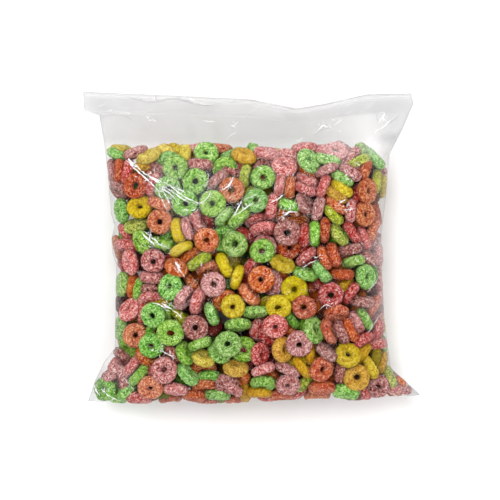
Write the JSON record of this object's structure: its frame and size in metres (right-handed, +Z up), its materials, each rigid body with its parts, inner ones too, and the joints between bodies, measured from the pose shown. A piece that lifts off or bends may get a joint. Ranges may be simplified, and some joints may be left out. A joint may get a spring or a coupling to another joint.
{
  "type": "bag of cereal rings",
  "caption": "Clear sealed bag filled with small coloured cereal rings, lying on its back; holds and shows dry breakfast food or a snack.",
  "frame": {"origin": "under the middle of the bag's box, at the floor", "axes": "+X to the bag's right as shown, +Y towards the seal strip, +Z up out of the shown front"},
  "size_m": [0.2046, 0.1897, 0.0615],
  "materials": {
    "cereal": "mottled matte cereal rings in green, yellow, orange, red and mauve, seen through clear film",
    "film": "clear glossy plastic film with creases"
  },
  "bodies": {
    "root": {"bag": "cereal"}
  },
  "joints": []
}
